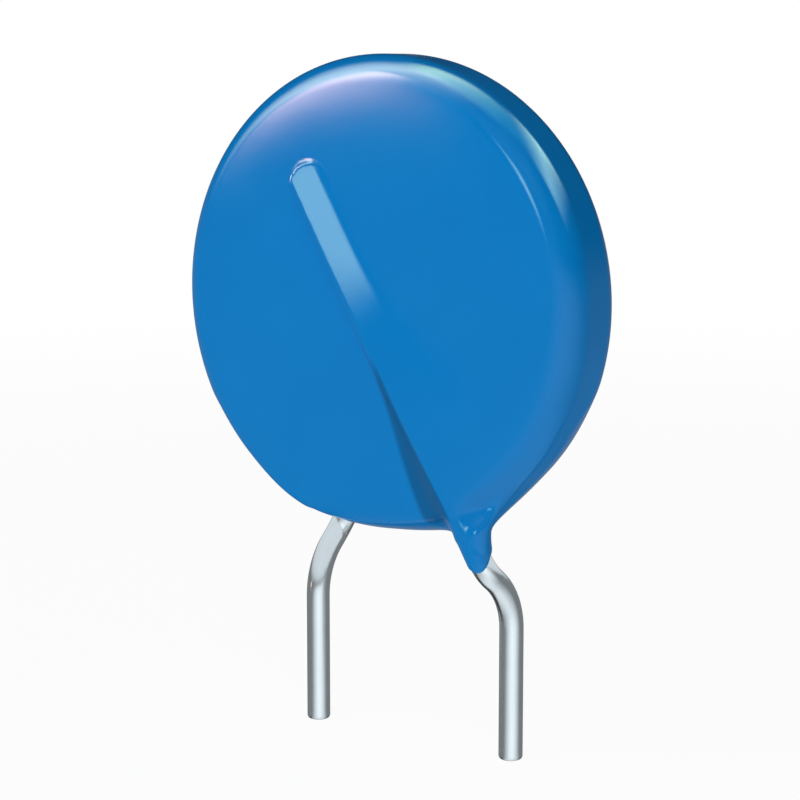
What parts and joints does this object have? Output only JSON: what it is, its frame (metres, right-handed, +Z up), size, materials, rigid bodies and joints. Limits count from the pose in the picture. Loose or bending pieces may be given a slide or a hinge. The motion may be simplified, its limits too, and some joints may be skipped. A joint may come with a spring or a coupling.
{
  "type": "metal oxide varistor",
  "caption": "Radial-lead disc varistor: blue epoxy-dipped disc with a ridge over each wire, run-down tails and two kinked leads at standard pitch.",
  "frame": {"origin": "midway between the two leads, on the plane of the board's top face, where both wires have just turned straight down", "axes": "+Z up, away from the board; +X from the back lead to the front lead; the marked front face looks along -Y"},
  "size_m": [0.0199, 0.0048, 0.0288],
  "materials": {
    "blue_epoxy": "glossy dipped epoxy, bright blue",
    "zinc_oxide_ceramic": "sintered ceramic, dark grey, matt",
    "silver_electrode": "fired silver film, satin",
    "solder": "tin solder, satin",
    "tinned_wire": "tinned copper wire, bright"
  },
  "bodies": {
    "root": {"coating": "blue_epoxy", "ceramic_disc": "zinc_oxide_ceramic", "front_electrode": "silver_electrode", "back_electrode": "silver_electrode", "front_solder": "solder", "back_solder": "solder", "front_lead": "tinned_wire", "back_lead": "tinned_wire"}
  },
  "joints": []
}
